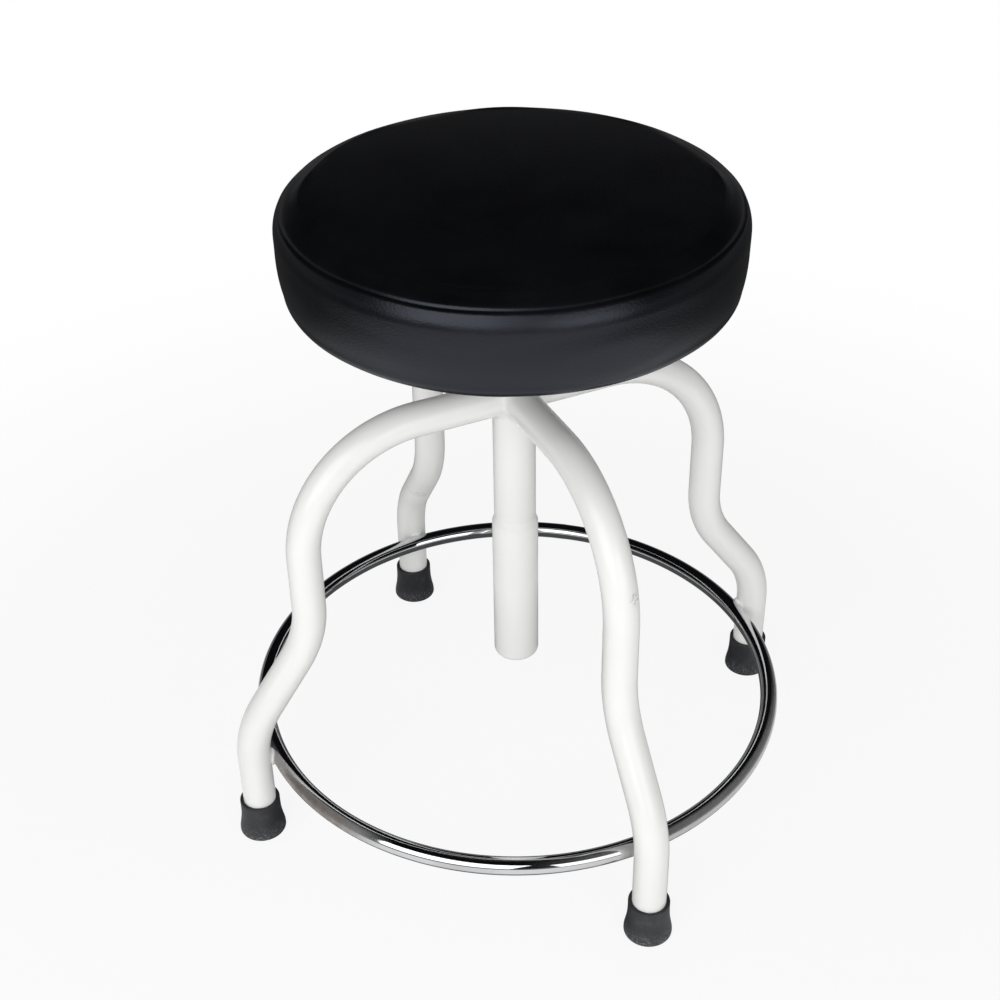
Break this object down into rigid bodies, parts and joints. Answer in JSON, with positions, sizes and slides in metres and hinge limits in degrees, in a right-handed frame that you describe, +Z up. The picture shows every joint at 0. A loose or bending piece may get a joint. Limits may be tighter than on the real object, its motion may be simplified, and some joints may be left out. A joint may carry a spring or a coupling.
{
  "type": "medical stool",
  "caption": "Round padded stool on a screw spindle that raises and lowers the seat, with bent tube legs, a foot ring inside the legs and rubber feet.",
  "frame": {"origin": "on the floor at the centre of the stool, midway between the four feet", "axes": "+Z up along the spindle, front towards -Y, legs on the diagonals"},
  "size_m": [0.4225, 0.4226, 0.507],
  "materials": {
    "frame_paint": "gloss white powder coat on steel tube",
    "ring_chrome": "bright chrome plate",
    "foot_rubber": "matte charcoal moulded rubber",
    "bare_steel": "machined steel, lightly oiled",
    "zinc": "bright zinc plate",
    "washer_plastic": "natural white nylon",
    "plywood": "unfinished birch plywood",
    "lining_cloth": "black non-woven lining",
    "foam": "soft polyurethane foam",
    "vinyl": "black upholstery vinyl, semi-gloss, fine grain"
  },
  "bodies": {
    "stand": {"leg_front_left": "frame_paint", "leg_front_right": "frame_paint", "leg_back_left": "frame_paint", "leg_back_right": "frame_paint", "hub_tube": "frame_paint", "guard_tube": "frame_paint", "foot_ring": "ring_chrome", "ring_welds": "frame_paint", "rubber_foot_front_left": "foot_rubber", "rubber_foot_front_right": "foot_rubber", "rubber_foot_back_left": "foot_rubber", "rubber_foot_back_right": "foot_rubber", "foot_washers": "bare_steel", "hub_nut": "bare_steel"},
    "turning_washer": {"wear_washer": "washer_plastic"},
    "seat": {"spindle": "bare_steel", "stop_washer": "bare_steel", "stop_screw": "bare_steel", "seat_plate": "bare_steel", "plate_screws": "zinc", "plate_washers": "zinc", "t_nuts": "zinc", "seat_board": "plywood", "seat_lining": "lining_cloth", "seat_staples": "zinc", "seat_foam": "foam", "seat_cover": "vinyl"}
  },
  "joints": [
    {"name": "seat_turn", "type": "hinge", "parent": "stand", "child": "turning_washer", "pos_m": [0, 0, 0.3617], "axis": [0, 0, 1], "range_deg": [-2520, 5760]},
    {"name": "seat_lift", "type": "slide", "parent": "turning_washer", "child": "seat", "axis": [0, 0, 1], "range_m": [-0.0561, 0.1281]}
  ],
  "couplings": [
    {"joint": "seat_lift", "follows": "seat_turn", "m_per_rad": 0.0012732}
  ]
}
